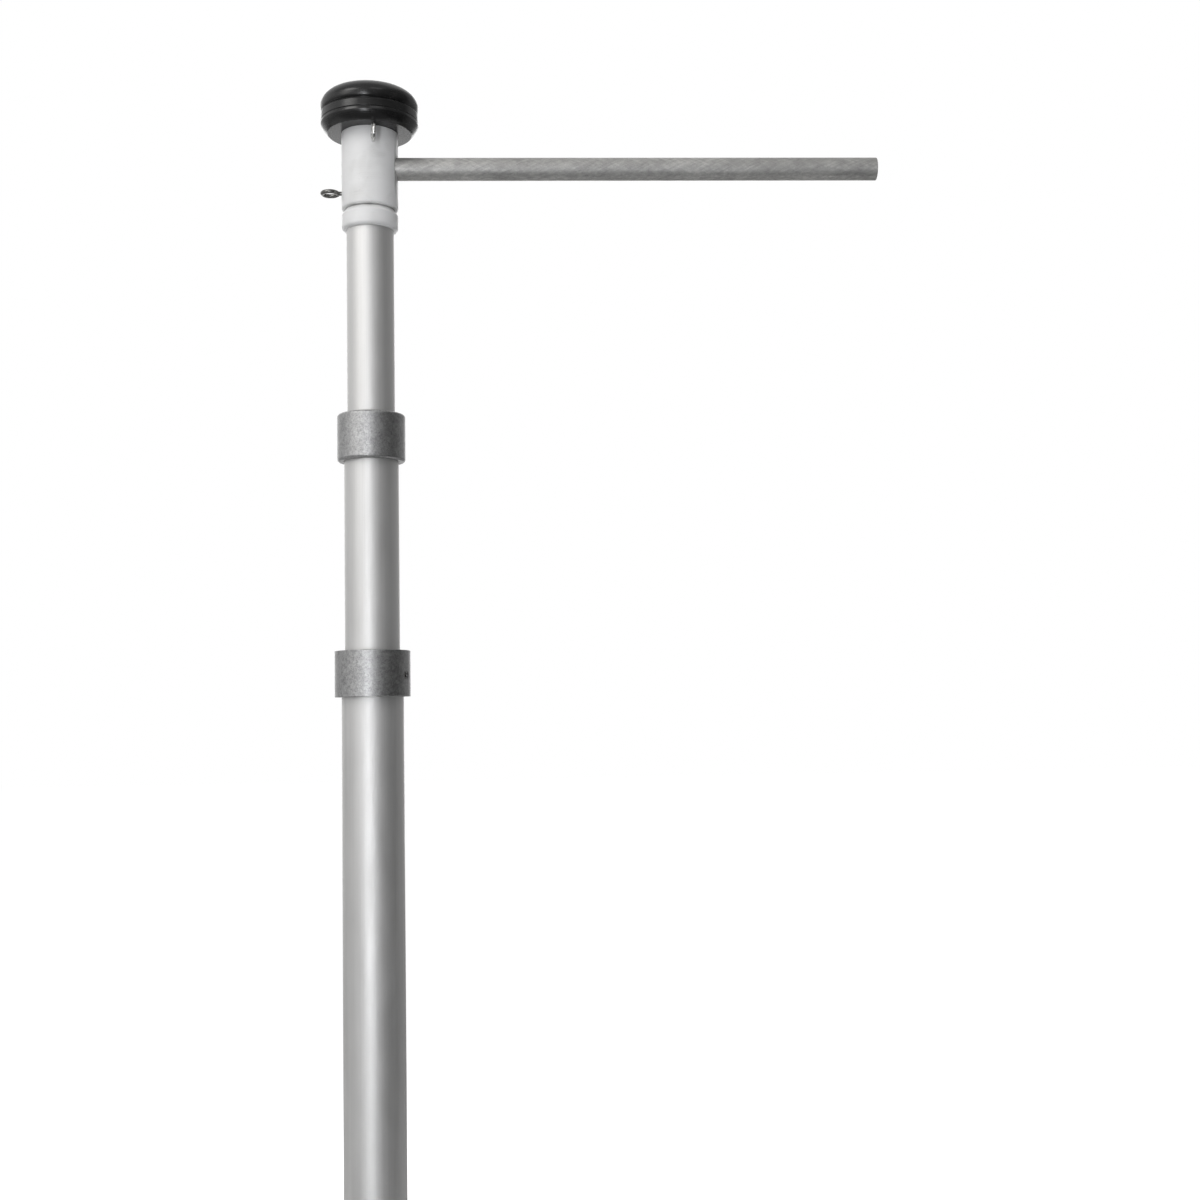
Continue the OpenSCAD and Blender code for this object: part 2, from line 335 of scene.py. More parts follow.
def turn_of(node):
    """The turn round the pole at which a CAD node stands, from the arm."""
    middle = middle_of(node)
    return Vector((1, 0)).angle_signed(Vector((middle.x, middle.y))) * -1


COLLAR_SOCKET = 22 * MM
COLLAR_FIT = 0.05 * MM
MACHINED_EDGE = 0.7 * MM
CAST_EDGE = 4 * MM
MOUTH_BREAK = 0.5 * MM
STEP_BREAK = 0.2 * MM
NEST_GAP = 2 * MM
BUSH_HEIGHT = 16 * MM
BUSH_WALL = 3 * MM
THREAD_R = 5 * MM
THREAD_CHAMFER = 2.4 * MM
HOLE_STEPS = 64

zinc = finish_of("cast_zinc_skin", 1.0, cast_zinc)

for name, outer_tube, inner_tube, rounding in (
    ("lower", "lower_tube", "middle_tube", MACHINED_EDGE),
    ("middle", "middle_tube", "top_tube", CAST_EDGE),
):
    node = name + "_collar"
    low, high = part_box(node)
    socket_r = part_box(outer_tube)[1].x + COLLAR_FIT
    inner_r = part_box(inner_tube)[1].x
    collar = turned(node + "_cast", [
        (socket_r, low.z, MOUTH_BREAK),
        (high.x, low.z, rounding),
        (high.x, high.z, rounding),
        (inner_r + BUSH_WALL, high.z, MOUTH_BREAK),
        (inner_r + BUSH_WALL, high.z - BUSH_HEIGHT, 0),
        (inner_r + NEST_GAP, high.z - BUSH_HEIGHT, STEP_BREAK),
        (inner_r + NEST_GAP, low.z + COLLAR_SOCKET, STEP_BREAK),
        (socket_r, low.z + COLLAR_SOCKET, 0),
    ], ring=True)
    screw = name + "_clamp_screw"
    tapping = turned("tapping", [
        (0, inner_r, 0),
        (THREAD_R, inner_r, 0),
        (THREAD_R, high.x - THREAD_CHAMFER, 0),
        (THREAD_R + 2 * THREAD_CHAMFER, high.x + THREAD_CHAMFER, 0),
        (0, high.x + THREAD_CHAMFER, 0),
    ], place=outwards(turn_of(screw), middle_of(screw).z), steps=HOLE_STEPS)
    fit(bore_out(collar, [tapping]), node, name, zinc)

# ------------------------------------------------------------------------------------ Guide bushes
# A ring of black polyamide in the mouth of each collar, pressed in just below its face. Its bore is a
# running fit on the tube that slides through it, and its upper edge is chamfered as a wiper.

RUNNING_GAP = 0.08 * MM
RING_SUNK = 0.3 * MM
RING_BREAK = 0.3 * MM
RING_TOP_BREAK = 0.6 * MM
WIPER_WIDTH = 0.9 * MM
WIPER_DEPTH = 1 * MM
WIPER_BREAK = 0.2 * MM

for name, inner_tube in (("lower", "middle_tube"), ("middle", "top_tube")):
    node = name + "_guide_bush"
    low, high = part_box(node)
    inner_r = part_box(inner_tube)[1].x
    bush_top = high.z - RING_SUNK
    bush = turned(node + "_moulded", [
        (inner_r + RUNNING_GAP, low.z, RING_BREAK),
        (high.x, low.z, RING_BREAK),
        (high.x, bush_top, RING_TOP_BREAK),
        (inner_r + WIPER_WIDTH, bush_top, WIPER_BREAK),
        (inner_r + RUNNING_GAP, bush_top - WIPER_DEPTH, WIPER_BREAK),
    ], ring=True)
    fit(bush, node, name, black_plastic)

# ----------------------------------------------------------------------------------- Clamp screws
# A hexagon socket set screw in each collar presses the sliding tube against its bush. It is hardened
# steel with a black oxide skin, chamfered at the socket end and cupped at the point.


def black_oxide(tree):
    """Oiled black oxide with random patches worn paler towards steel."""
    fine = grain(tree, 0.6 * MM, detail=3)
    worn = grain(tree, 3 * MM, detail=3)
    tone = blended(tree, (fine, 0.4), (worn, 0.6))
    return {
        "Base Color": shades(tree, tone, (0.35, (0.100, 0.099, 0.098)), (0.66, (0.340, 0.335, 0.326))),
        "Roughness": spread(tree, tone, 0.30, 0.55),
        "Normal": relief(tree, fine, 0.02 * MM),
    }


THREAD_FIT = 0.1 * MM
SCREW_R = THREAD_R - THREAD_FIT
SCREW_SUNK = 1.8 * MM
SCREW_BREAK = 0.2 * MM
FACE_CHAMFER = 0.8 * MM
POINT_GAP = 0.4 * MM
POINT_CHAMFER = 1.3 * MM
CUP_RIM = 0.4 * MM
CUP_DEPTH = 1.2 * MM
SOCKET_ACROSS = 5 * MM
SOCKET_R = SOCKET_ACROSS / 2 / cos(pi / 6)
SOCKET_DEPTH = 5 * MM
SOCKET_CONE = 0.8 * MM
SOCKET_PAST = 1 * MM

set_screw_steel = finish_of("black_oxide_steel", 0.9, black_oxide)

for name, inner_tube in (("lower", "middle_tube"), ("middle", "top_tube")):
    node = name + "_clamp_screw"
    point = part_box(inner_tube)[1].x + POINT_GAP
    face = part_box(name + "_collar")[1].x - SCREW_SUNK
    place = outwards(turn_of(node), middle_of(node).z)
    screw = turned(node + "_turned", [
        (0, point + CUP_DEPTH, 0),
        (SCREW_R - POINT_CHAMFER - CUP_RIM, point, SCREW_BREAK),
        (SCREW_R - POINT_CHAMFER, point, SCREW_BREAK),
        (SCREW_R, point + POINT_CHAMFER, SCREW_BREAK),
        (SCREW_R, face - FACE_CHAMFER, SCREW_BREAK),
        (SCREW_R - FACE_CHAMFER, face, SCREW_BREAK / 2),
        (0, face, 0),
    ], place=place, steps=96)
    socket = turned("socket", [
        (0, face - SOCKET_DEPTH - SOCKET_CONE, 0),
        (SOCKET_R, face - SOCKET_DEPTH, 0),
        (SOCKET_R, face + SOCKET_PAST, 0),
        (0, face + SOCKET_PAST, 0),
    ], place=place, steps=6)
    fit(bore_out(screw, [socket]), node, name, set_screw_steel)

# --------------------------------------------------------------------------------------- Head plug
# The fixed part of the head, turned from white acetal and pressed into the top tube. Its flange has a
# chamfer that carries the rotor, and its spigot has a groove for the retaining screw's tip.


def turned_white(tree):
    """White acetal with very fine turning rings and a soft cast of handling, with painted shade that
    darkens it in a band round the joint of the rotor and the flange.
    """
    rings = grain(tree, 0.8 * MM, stretch=(90, 90, 1), detail=2)
    handled = grain(tree, 32 * MM, detail=4, distortion=0.5)
    specks = spread(tree, grain(tree, 2.2 * MM, detail=2), 0.0, 1.0, 0.68, 0.82)
    tone = blended(tree, (rings, 0.2), (handled, 0.8), (specks, -0.3))
    where = add(tree, "TexCoord", {})
    height = add(tree, "SeparateXYZ", {0: where.outputs["Object"]}).outputs["Z"]
    # Painted shade: the base colour darkens in a band round the joint between the rotor and the plug's
    # flange.
    starts, full, wanes, ends = (flange_high + step for step in JOINT_SHADE_HEIGHTS)
    below = spread(tree, height, 0.0, 0.5, starts, full)
    above = spread(tree, height, 0.5, 0.0, wanes, ends)
    painted_joint_shade = add(tree, "Math", {0: below, 1: above}, operation="MULTIPLY").outputs[0]
    return {
        "Base Color": shades(
            tree, blended(tree, (tone, 1.0), (painted_joint_shade, -1.0)),
            (0.0, (0.330, 0.328, 0.318)), (0.28, (0.690, 0.690, 0.684)), (0.48, (0.765, 0.766, 0.765)),
            (0.7, (0.795, 0.797, 0.798)),
        ),
        "Roughness": spread(tree, blended(tree, (handled, 0.7), (rings, 0.3)), 0.34, 0.50),
        "Normal": relief(tree, rings, 0.010 * MM),
    }


PLUG_LEAD = 1 * MM
SPIGOT_R = 20 * MM
SPIGOT_ROUNDING = 1 * MM
THRUST_GAP = 0.4 * MM
FLANGE_ROUNDING = 5.5 * MM
FLANGE_CHAMFER_IN = 5 * MM
FLANGE_CHAMFER_DOWN = 8 * MM
FLANGE_RIM_BREAK = 0.6 * MM
FLANGE_FACE_BREAK = 0.5 * MM
GROOVE_DEPTH = 4 * MM
GROOVE_HEIGHT = 9 * MM
# Heights of the painted shade band round the joint, measured from the flange's face.
JOINT_SHADE_HEIGHTS = (-6.5 * MM, -2 * MM, 0.5 * MM, 3 * MM)
TURNED_BREAK = 0.4 * MM

plug_low, plug_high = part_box("head_plug")
rotor_low, rotor_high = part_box("rotor")
eye_height = middle_of("retaining_screw_eye").z
flange_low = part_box("top_tube")[1].z
flange_high = rotor_low.z - THRUST_GAP
flange_r = plug_high.x
plug_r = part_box("top_tube")[1].x - TUBE_WALL
groove_r = SPIGOT_R - GROOVE_DEPTH
groove_low = eye_height - GROOVE_HEIGHT / 2
groove_high = eye_height + GROOVE_HEIGHT / 2
white_acetal = finish_of("turned_white_acetal", 0.0, turned_white)
head_plug = turned("head_plug_turned", [
    (0, plug_low.z, 0),
    (plug_r - PLUG_LEAD, plug_low.z, TURNED_BREAK),
    (plug_r, plug_low.z + 2 * PLUG_LEAD, TURNED_BREAK),
    (plug_r, flange_low, 0),
    (flange_r, flange_low, FLANGE_ROUNDING),
    (flange_r, flange_high - FLANGE_CHAMFER_DOWN, FLANGE_RIM_BREAK),
    (flange_r - FLANGE_CHAMFER_IN, flange_high, FLANGE_FACE_BREAK),
    (SPIGOT_R, flange_high, 0),
    (SPIGOT_R, groove_low, TURNED_BREAK),
    (groove_r, groove_low, TURNED_BREAK),
    (groove_r, groove_high, TURNED_BREAK),
    (SPIGOT_R, groove_high, TURNED_BREAK),
    (SPIGOT_R, plug_high.z, SPIGOT_ROUNDING),
    (0, plug_high.z, 0),
])
fit(head_plug, "head_plug", "top", white_acetal)

# ------------------------------------------------------------------------------------------- Rotor
# The head's turning sleeve, white acetal too. It is bored from below for the spigot, from above for
# the cap and from the side for the arm, and its lower edge is well rounded.

ROTOR_STEPS = 256
ROTOR_ROUNDING = 4 * MM
BORE_END_GAP = 0.2 * MM
BORE_END_BREAK = 0.3 * MM
BORE_MOUTH_BREAK = 0.5 * MM
ARM_WEB = 5 * MM
ARM_PAST_AXIS = 26 * MM
ARM_BORE_GAP = 0.6 * MM
ARM_BORE_STEPS = 160
CAP_SPIGOT_R = 15 * MM
CAP_SPIGOT_FIT = 0.05 * MM
CAP_EYE_WIRE_R = 2.75 * MM
RETAINING_EYE_WIRE_R = 3.1 * MM
EYE_BORE_SHARE = 0.4
COUNTERSINK = 0.5 * MM
DRILL_PAST = 2.5 * MM

arm_low, arm_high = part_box("arm")
arm_r = (arm_high.z - arm_low.z) / 2
arm_z = (arm_high.z + arm_low.z) / 2
rotor_r = rotor_high.x
cap_low, cap_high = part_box("cap")
spigot_bore_r = SPIGOT_R + RUNNING_GAP
spigot_bore_top = arm_z - arm_r - ARM_WEB
cap_bore_r = CAP_SPIGOT_R + CAP_SPIGOT_FIT
cap_bore_floor = cap_low.z - BORE_END_GAP
arm_bore_end = -ARM_PAST_AXIS - BORE_END_GAP

rotor = turned("rotor_turned", [
    (0, spigot_bore_top, 0),
    (spigot_bore_r, spigot_bore_top, BORE_END_BREAK),
    (spigot_bore_r, rotor_low.z, BORE_MOUTH_BREAK),
    (rotor_r, rotor_low.z, ROTOR_ROUNDING),
    (rotor_r, rotor_high.z, TURNED_BREAK),
    (cap_bore_r, rotor_high.z, TURNED_BREAK),
    (cap_bore_r, cap_bore_floor, 0),
    (0, cap_bore_floor, 0),
], steps=ROTOR_STEPS)
arm_bore = turned("arm_bore", [
    (0, arm_bore_end, 0),
    (arm_r + ARM_BORE_GAP, arm_bore_end, 0),
    (arm_r + ARM_BORE_GAP, 2 * rotor_r, 0),
    (0, 2 * rotor_r, 0),
], place=outwards(0, arm_z), steps=ARM_BORE_STEPS)
eye_bores = [
    turned("eye_bore", [
        (0, EYE_BORE_SHARE * rotor_r, 0),
        (wire_r, EYE_BORE_SHARE * rotor_r, 0),
        (wire_r, rotor_r - COUNTERSINK, 0),
        (wire_r + COUNTERSINK + DRILL_PAST, rotor_r + DRILL_PAST, 0),
        (0, rotor_r + DRILL_PAST, 0),
    ], place=outwards(turn_of(eye), middle_of(eye).z), steps=HOLE_STEPS)
    for eye, wire_r in (
        ("retaining_screw_eye", RETAINING_EYE_WIRE_R), ("cap_screw_eye", CAP_EYE_WIRE_R),
    )
]
fit(bore_out(rotor, [arm_bore, *eye_bores]), "rotor", "head", white_acetal)

# --------------------------------------------------------------------------------------------- Cap
# A finial turned from black acetal: a disc with a raking lower edge and a fine groove over it, then a
# notch with a rounded lip and a low dome. Its spigot is held in the rotor by the front screw eye.


def turned_black(tree):
    """Black acetal straight from the lathe: fine rings round it, a half gloss and settled dust."""
    rings = grain(tree, 0.6 * MM, stretch=(200, 200, 1), detail=2)
    coarse = grain(tree, 2.4 * MM, stretch=(60, 60, 1), detail=2)
    dust = grain(tree, 16 * MM, detail=5, distortion=0.7)
    return {
        "Base Color": shades(
            tree, blended(tree, (dust, 0.8), (coarse, 0.2)),
            (0.35, (0.008, 0.008, 0.008)), (0.6, (0.011, 0.011, 0.011)), (0.78, (0.020, 0.019, 0.018)),
        ),
        "Roughness": spread(tree, blended(tree, (dust, 0.5), (rings, 0.5)), 0.20, 0.30),
        "Normal": relief(tree, blended(tree, (rings, 0.4), (coarse, 0.6)), 0.008 * MM),
    }


def curve_between(start, end, bend, steps=16):
    """Corners along a bend from start to end: 2 is a quarter ellipse, and less is flatter."""
    return [
        (
            end[0] + (start[0] - end[0]) * cos(quarter) ** (2 / bend),
            start[1] + (end[1] - start[1]) * sin(quarter) ** (2 / bend),
            0,
        )
        for quarter in (pi / 2 * step / steps for step in range(steps + 1))
    ]


CAP_STEPS = 256
CAP_MARGIN = 0.04 * MM
CAP_SPIGOT_BREAK = 0.8 * MM
CAP_FLAT_INSET = 11.0 * MM
EDGE_INSET = 0.25 * MM
EDGE_HEIGHT = 13.5 * MM
EDGE_BEND = 1.3
SHOULDER_INSET = 0.7 * MM
SHOULDER_DOWN = 0.9 * MM
SHOULDER_ROUNDING = 0.5 * MM
GROOVE_UP = 18.2 * MM
GROOVE_INSET = 1.5 * MM
GROOVE_BREAK = 0.2 * MM
BAND_INSET = 0.6 * MM
BAND_START = 0.7 * MM
BAND_BREAK = 0.3 * MM
BAND_BEAD = 2.6 * MM
BEAD_ROUNDING = 0.6 * MM
NOTCH_UP = 32 * MM
NOTCH_INSET = 3.8 * MM
NOTCH_BREAK = 0.3 * MM
LIP_INSET = 1.3 * MM
LIP_START = 2.5 * MM
LIP_FULL_INSET = 0.35 * MM
LIP_FULL = 5.5 * MM
LIP_ROUNDING = 1.2 * MM
DOME_UP = 9.5 * MM
DOME_BEND = 1.93
CROWN_SHARE = 0.56
FLAT_SHARE = 0.30
FLAT_SAG = 0.1 * MM
CENTRE_MARK_R = 2.2 * MM
CENTRE_MARK_RIM = 0.3 * MM
CENTRE_MARK_DEPTH = 1.6 * MM

black_acetal = finish_of("turned_black_acetal", 0.0, turned_black, Specular_IOR_Level=0.44)

cap_r = cap_high.x - CAP_MARGIN
cap_under = rotor_high.z
groove_z = cap_under + GROOVE_UP
notch_z = cap_under + NOTCH_UP
crown_r = cap_r * CROWN_SHARE
raking_edge = curve_between(
    (cap_r - EDGE_INSET, cap_under + EDGE_HEIGHT), (cap_r - CAP_FLAT_INSET, cap_under), EDGE_BEND
)
dome = curve_between((cap_r, notch_z + DOME_UP), (crown_r, cap_high.z), DOME_BEND)
cap = turned("cap_turned", [
    (0, cap_low.z, 0),
    (CAP_SPIGOT_R, cap_low.z, CAP_SPIGOT_BREAK),
    (CAP_SPIGOT_R, cap_under, 0),
    *reversed(raking_edge),
    (cap_r - SHOULDER_INSET, groove_z - SHOULDER_DOWN, SHOULDER_ROUNDING),
    (cap_r - GROOVE_INSET, groove_z, GROOVE_BREAK),
    (cap_r - BAND_INSET, groove_z + BAND_START, BAND_BREAK),
    (cap_r - BAND_INSET, notch_z - BAND_BEAD, BEAD_ROUNDING),
    (cap_r - NOTCH_INSET, notch_z, NOTCH_BREAK),
    (cap_r - LIP_INSET, notch_z + LIP_START, LIP_ROUNDING),
    (cap_r - LIP_FULL_INSET, notch_z + LIP_FULL, LIP_ROUNDING),
    *dome,
    (crown_r * FLAT_SHARE, cap_high.z - FLAT_SAG, 0),
    (CENTRE_MARK_R, cap_high.z - CENTRE_MARK_RIM, CENTRE_MARK_RIM),
    (0, cap_high.z - CENTRE_MARK_DEPTH, 0),
], steps=CAP_STEPS)
fit(cap, "cap", "head", black_acetal)

# -------------------------------------------------------------------------------------- Screw eyes
# Two screw eyes, each bent from one bright plated steel wire: a straight shank, a tight neck and a ring
# that closes against the neck. One holds the cap, and the other runs in the spigot's groove.


def plated(tree):
    """Bright zinc plating with a faint cloud of handling. The eye on the arm's far side, which turns in
    the groove, is painted darker and duller than the one under the cap, as painted shade for the dark
    surroundings it reflects."""
    cloud = grain(tree, 5 * MM, detail=4)
    marks = grain(tree, 0.9 * MM, detail=2)
    where = add(tree, "TexCoord", {})
    along = add(tree, "SeparateXYZ", {0: where.outputs["Object"]}).outputs["X"]
    # Painted shade: the plating's colour runs from dark on the arm's far side to bright under the cap, and
    # its roughness runs with it.
    painted_sheen_side = spread(tree, along, 0.0, 1.0, -40 * MM, -15 * MM)
    tone = blended(tree, (cloud, 0.35), (marks, 0.15), (painted_sheen_side, 0.5))
    return {
        "Base Color": shades(
            tree, tone,
            (0.15, (0.12, 0.119, 0.112)), (0.35, (0.24, 0.238, 0.227)),
            (0.65, (0.55, 0.545, 0.535)), (0.85, (0.70, 0.695, 0.685)),
        ),
        "Roughness": spread(tree, tone, 0.34, 0.16, 0.2, 0.8),
        "Normal": relief(tree, marks, 0.01 * MM),
    }


def bent_eye(name, tip, ring_x, ring_r, wire_r, place):
    """A screw eye in the XY plane with its shank along +X from tip. The neck turns to one side and the
    ring comes back round to it. The place puts the eye in the rotor's wall."""
    neck_r = NECK_SHARE * wire_r
    lean = asin(neck_r / (ring_r + neck_r))
    neck_x = ring_x - sqrt((ring_r + neck_r) ** 2 - neck_r ** 2)
    shape = bmesh.new()
    wire = bmesh.ops.create_circle(shape, segments=32, radius=wire_r * POINT_SHARE)["verts"]
    bmesh.ops.rotate(shape, verts=wire, cent=(0, 0, 0), matrix=Matrix.Rotation(pi / 2, 3, "Y"))
    bmesh.ops.translate(shape, verts=wire, vec=(tip, 0, 0))
    loop = shape.edges[:]
    for forward, wider in ((POINT_LENGTH, 1 / POINT_SHARE), (neck_x - tip - POINT_LENGTH, 1)):
        grown = bmesh.ops.extrude_edge_only(shape, edges=loop)["geom"]
        loop = [
            part for part in grown if isinstance(part, bmesh.types.BMEdge) and len(part.link_faces) == 1
        ]
        ends = list({vert for edge in loop for vert in edge.verts})
        bmesh.ops.scale(shape, verts=ends, vec=(1, wider, wider))
        bmesh.ops.translate(shape, verts=ends, vec=(forward, 0, 0))
    for centre, axis, angle, steps in (
        ((neck_x, neck_r, 0), (0, 0, 1), pi / 2 - lean, 12),
        ((ring_x, 0, 0), (0, 0, -1), tau - lean - RING_OPENING, 96),
    ):
        swept = bmesh.ops.spin(
            shape, geom=loop, cent=centre, axis=axis, angle=angle, steps=steps
        )["geom_last"]
        loop = [part for part in swept if isinstance(part, bmesh.types.BMEdge)]
    open_edges = [edge for edge in shape.edges if len(edge.link_faces) == 1]
    bmesh.ops.holes_fill(shape, edges=open_edges, sides=0)
    bmesh.ops.remove_doubles(shape, verts=shape.verts, dist=MERGE_DISTANCE)
    bmesh.ops.bevel(
        shape, geom=loop, offset=WIRE_BREAK, affect="EDGES", segments=3, profile=0.5, material=-1
    )
    bmesh.ops.recalc_face_normals(shape, faces=shape.faces)
    bmesh.ops.transform(shape, matrix=place, verts=shape.verts)
    return as_piece(name, shape)


EYE_OUTSIDE = 29.3 * MM
EYE_GAP = 2.5 * MM
NECK_SHARE = 1.3
RING_OPENING = radians(23)
POINT_SHARE = 0.55
POINT_LENGTH = 2.5 * MM
WIRE_BREAK = 0.7 * MM
CAP_EYE_BITE = 12 * MM
RETAINING_TIP_GAP = 1 * MM

bright_steel = finish_of("bright_plated_steel", 1.0, plated)
ring_x = rotor_r + EYE_GAP + EYE_OUTSIDE / 2

for node, tip, roll, wire_r in (
    ("cap_screw_eye", CAP_SPIGOT_R - CAP_EYE_BITE, pi / 2, CAP_EYE_WIRE_R),
    ("retaining_screw_eye", groove_r + RETAINING_TIP_GAP, 0, RETAINING_EYE_WIRE_R),
):
    place = (
        Matrix.Translation((0, 0, middle_of(node).z))
        @ Matrix.Rotation(turn_of(node), 4, "Z")
        @ Matrix.Rotation(roll, 4, "X")
    )
    eye = bent_eye(node + "_bent", tip, ring_x, EYE_OUTSIDE / 2 - wire_r, wire_r, place)
    fit(eye, node, "head", bright_steel)

# --------------------------------------------------------------------------------------------- Arm
# The banner arm is a steel pipe, hot dip galvanised after it was sawn. The zinc froze in slanting
# waves of paler and darker grey, and the pipe goes into the rotor's side bore up to its blind end.


def galvanised(tree):
    """Dip galvanising: slanting waves of pale and dark zinc, frozen clouds and a faint fine grain."""
    waves = grain(tree, 3.6 * MM, stretch=(10, 1, 1), detail=3, distortion=0.5, turn=(0.5, 0.42, 0.2))
    back_waves = grain(tree, 4.2 * MM, stretch=(8, 1, 1), detail=3, distortion=0.5, turn=(0, -0.45, 0.3))
    flow = grain(tree, 40 * MM, stretch=(2, 1, 1), detail=4, distortion=0.8)
    fine = grain(tree, 1.6 * MM, detail=2)
    tone = blended(tree, (waves, 0.3), (back_waves, 0.25), (flow, 0.3), (fine, 0.15))
    return {
        "Base Color": shades(
            tree, tone,
            (0.38, (0.305, 0.303, 0.296)), (0.5, (0.400, 0.397, 0.387)), (0.61, (0.530, 0.525, 0.510)),
        ),
        "Roughness": spread(tree, tone, 0.66, 0.54),
        "Normal": relief(tree, blended(tree, (waves, 0.4), (back_waves, 0.4), (fine, 0.2)), 0.045 * MM),
    }


ARM_WALL = 3.2 * MM
ARM_ROOT_BREAK = 0.4 * MM
ARM_END_BREAK = 0.6 * MM

galvanised_steel = finish_of("galvanised_steel", 0.85, galvanised)
arm = turned("arm_galvanised", [
    (arm_r - ARM_WALL, -ARM_PAST_AXIS, ARM_ROOT_BREAK),
    (arm_r, -ARM_PAST_AXIS, ARM_ROOT_BREAK),
    (arm_r, arm_high.x, ARM_END_BREAK),
    (arm_r - ARM_WALL, arm_high.x, ARM_END_BREAK),
], ring=True, place=outwards(0, arm_z))
fit(arm, "arm", "head", galvanised_steel)

# ------------------------------------------------------------------------------------- Arm end plug
# A moulded black plug closes the free end of the pipe, pressed in a millimetre below the sawn edge. Its
# face is dished, with a small moulding mark in the middle.

PLUG_STEPS = 96
PLUG_SUNK = 1 * MM
PLUG_LENGTH = 18 * MM
PLUG_TAPER = 1.5 * MM
PLUG_BREAK = 0.4 * MM
RIM_WIDTH = 3 * MM
DISH_SLOPE = 1 * MM
DISH_DEPTH = 0.8 * MM
MARK_R = 2 * MM
MARK_DEPTH = 0.4 * MM
MARK_BREAK = 0.2 * MM

plug_face = arm_high.x - PLUG_SUNK
plug_back = plug_face - PLUG_LENGTH
dish = plug_face - DISH_DEPTH
end_plug_r = arm_r - ARM_WALL
end_plug = turned("arm_end_plug_moulded", [
    (0, plug_back, 0),
    (end_plug_r - PLUG_TAPER, plug_back, PLUG_BREAK),
    (end_plug_r, plug_back + 2 * PLUG_TAPER, PLUG_BREAK),
    (end_plug_r, plug_face, 2 * PLUG_BREAK),
    (end_plug_r - RIM_WIDTH, plug_face, PLUG_BREAK),
    (end_plug_r - RIM_WIDTH - DISH_SLOPE, dish, PLUG_BREAK),
    (MARK_R, dish, MARK_BREAK),
    (MARK_R - MARK_DEPTH, dish - MARK_DEPTH, MARK_BREAK),
    (0, dish - MARK_DEPTH, 0),
], place=outwards(0, arm_z), steps=PLUG_STEPS)
fit(end_plug, "arm_end_plug", "head", black_plastic)

# ------------------------------------------------------------------------------------------ Studio
# The pole stands on a pale floor in front of white. Two soft strips stand just left of the camera, and
# soft boxes hang higher up at both sides and behind. Pale and dark cards, which only reflections see,
# give the metal its bright left and its dark right side.


def aimed(position, target):
    """A matrix at a position that looks at a target along -Z, with +Y up."""
    look = (Vector(target) - Vector(position)).to_track_quat("-Z", "Y")
    return Matrix.Translation(position) @ look.to_matrix().to_4x4()


def soft_light(name, bearing, height, distance, size, radiance, colour, aim_height):
    """A rectangular soft box at a bearing to the left of the camera; radiance 1 is white paper."""
    light = bpy.data.lights.new(name, "AREA")
    light.shape = "RECTANGLE"
    light.size, light.size_y = size
    light.energy = radiance * pi * size[0] * size[1]
    light.color = colour
    made = bpy.data.objects.new(name, light)
    turn = CAMERA_BEARING - radians(bearing)
    made.matrix_world = aimed(
        (distance * cos(turn), distance * sin(turn), height), (0, 0, aim_height)
    )
    bpy.context.scene.collection.objects.link(made)


def card(name, corners, glow, glow_above=None):
    """A flat card that only reflections see, with its glow near the floor and near the ceiling."""
    shape = bmesh.new()
    shape.faces.new([shape.verts.new(corner) for corner in corners])
    mesh = bpy.data.meshes.new(name)
    shape.to_mesh(mesh)
    shape.free()
    made = bpy.data.objects.new(name, mesh)
    bpy.context.scene.collection.objects.link(made)
    material = bpy.data.materials.new(name)
    material.use_nodes = True
    tree = material.node_tree
    tree.nodes.clear()
    where = add(tree, "TexCoord", {})
    height = add(tree, "SeparateXYZ", {0: where.outputs["Object"]}).outputs["Z"]
    above = glow if glow_above is None else glow_above
    strength = spread(tree, height, glow, above, *CARD_FADE)
    shine = add(tree, "Emission", {"Color": WHITE, "Strength": strength})
    add(tree, "OutputMaterial", {"Surface": shine.outputs[0]})
    mesh.materials.append(material)
    made.visible_camera = False
    made.visible_shadow = False
    made.visible_diffuse = False


def upright(name, start, end, glow, glow_above=None):
    """An upright card between two places on the floor."""
    corners = [(*start, 0), (*end, 0), (*end, WALL_HEIGHT), (*start, WALL_HEIGHT)]
    card(name, corners, glow, glow_above)


def level(name, left, right, near, far, height, glow):
    """A level card at a height, such as a ceiling or a rug."""
    corners = [(left, near, height), (right, near, height), (right, far, height), (left, far, height)]
    card(name, corners, glow)


CAMERA_SIDE = 0.2281
CAMERA_BACK = 2.3538
CAMERA_BELOW_ARM = 0.8294
CAMERA_YAW = radians(2.590)
CAMERA_PITCH = radians(4.321)
CAMERA_ROLL = radians(-0.947)
CAMERA_LENS = 47.985
CAMERA_BEARING = radians(-84.5)

camera_data = bpy.data.cameras.new("camera")
camera_data.lens = CAMERA_LENS
camera_data.sensor_width = 36
camera_data.clip_end = 200
camera = bpy.data.objects.new("camera", camera_data)
camera.matrix_world = (
    Matrix.Translation((CAMERA_SIDE, -CAMERA_BACK, arm_z - CAMERA_BELOW_ARM))
    @ Matrix.Rotation(-CAMERA_YAW, 4, "Z")
    @ Matrix.Rotation(pi / 2 + CAMERA_PITCH, 4, "X")
    @ Matrix.Rotation(CAMERA_ROLL, 4, "Z")
)
bpy.context.scene.collection.objects.link(camera)
bpy.context.scene.camera = camera

COOL = (0.945, 0.962, 1.0)
WARM = (1.0, 0.985, 0.965)
NEUTRAL = (1.0, 1.0, 1.0)
WHITE = (*NEUTRAL, 1.0)

